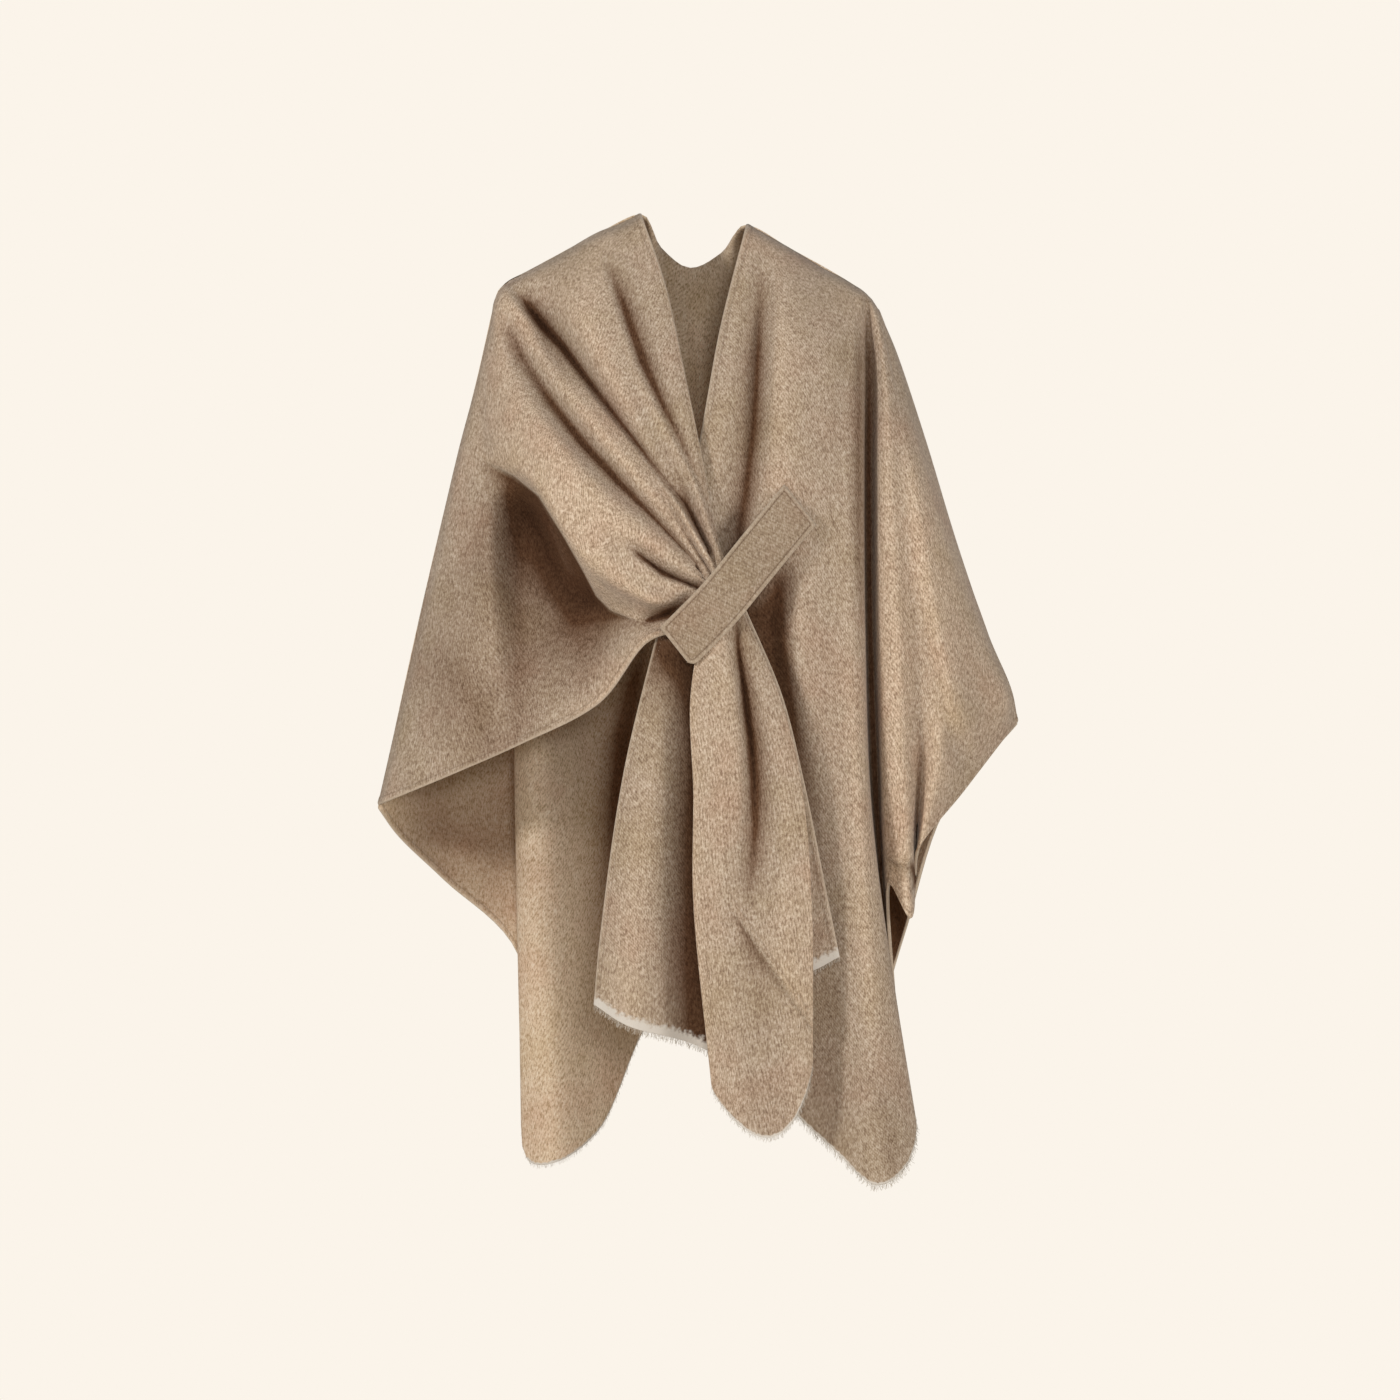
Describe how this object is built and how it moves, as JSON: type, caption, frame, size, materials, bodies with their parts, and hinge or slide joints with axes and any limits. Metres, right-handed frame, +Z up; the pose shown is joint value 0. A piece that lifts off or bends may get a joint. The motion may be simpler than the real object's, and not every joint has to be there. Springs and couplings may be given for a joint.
{
  "type": "open-front wrap poncho",
  "caption": "Hollow worn wrap poncho of soft twill, open in front, its right front gathered through a sewn-on band and hanging below it.",
  "frame": {"origin": "middle of the shoulder seam line, level with the shoulders, where the wearer carries the garment", "axes": "+Z up, the front faces -Y, +X towards the wearer's left"},
  "size_m": [0.6047, 0.2916, 0.9138],
  "materials": {
    "cloth": "soft brushed twill, camel melange",
    "inside_cloth": "soft brushed twill, camel melange",
    "band_cloth": "soft brushed twill sewn double"
  },
  "bodies": {
    "root": {"back": "inside_cloth", "left_front": "cloth", "right_front": "cloth", "right_front_tail": "cloth", "band": "band_cloth"}
  },
  "joints": []
}
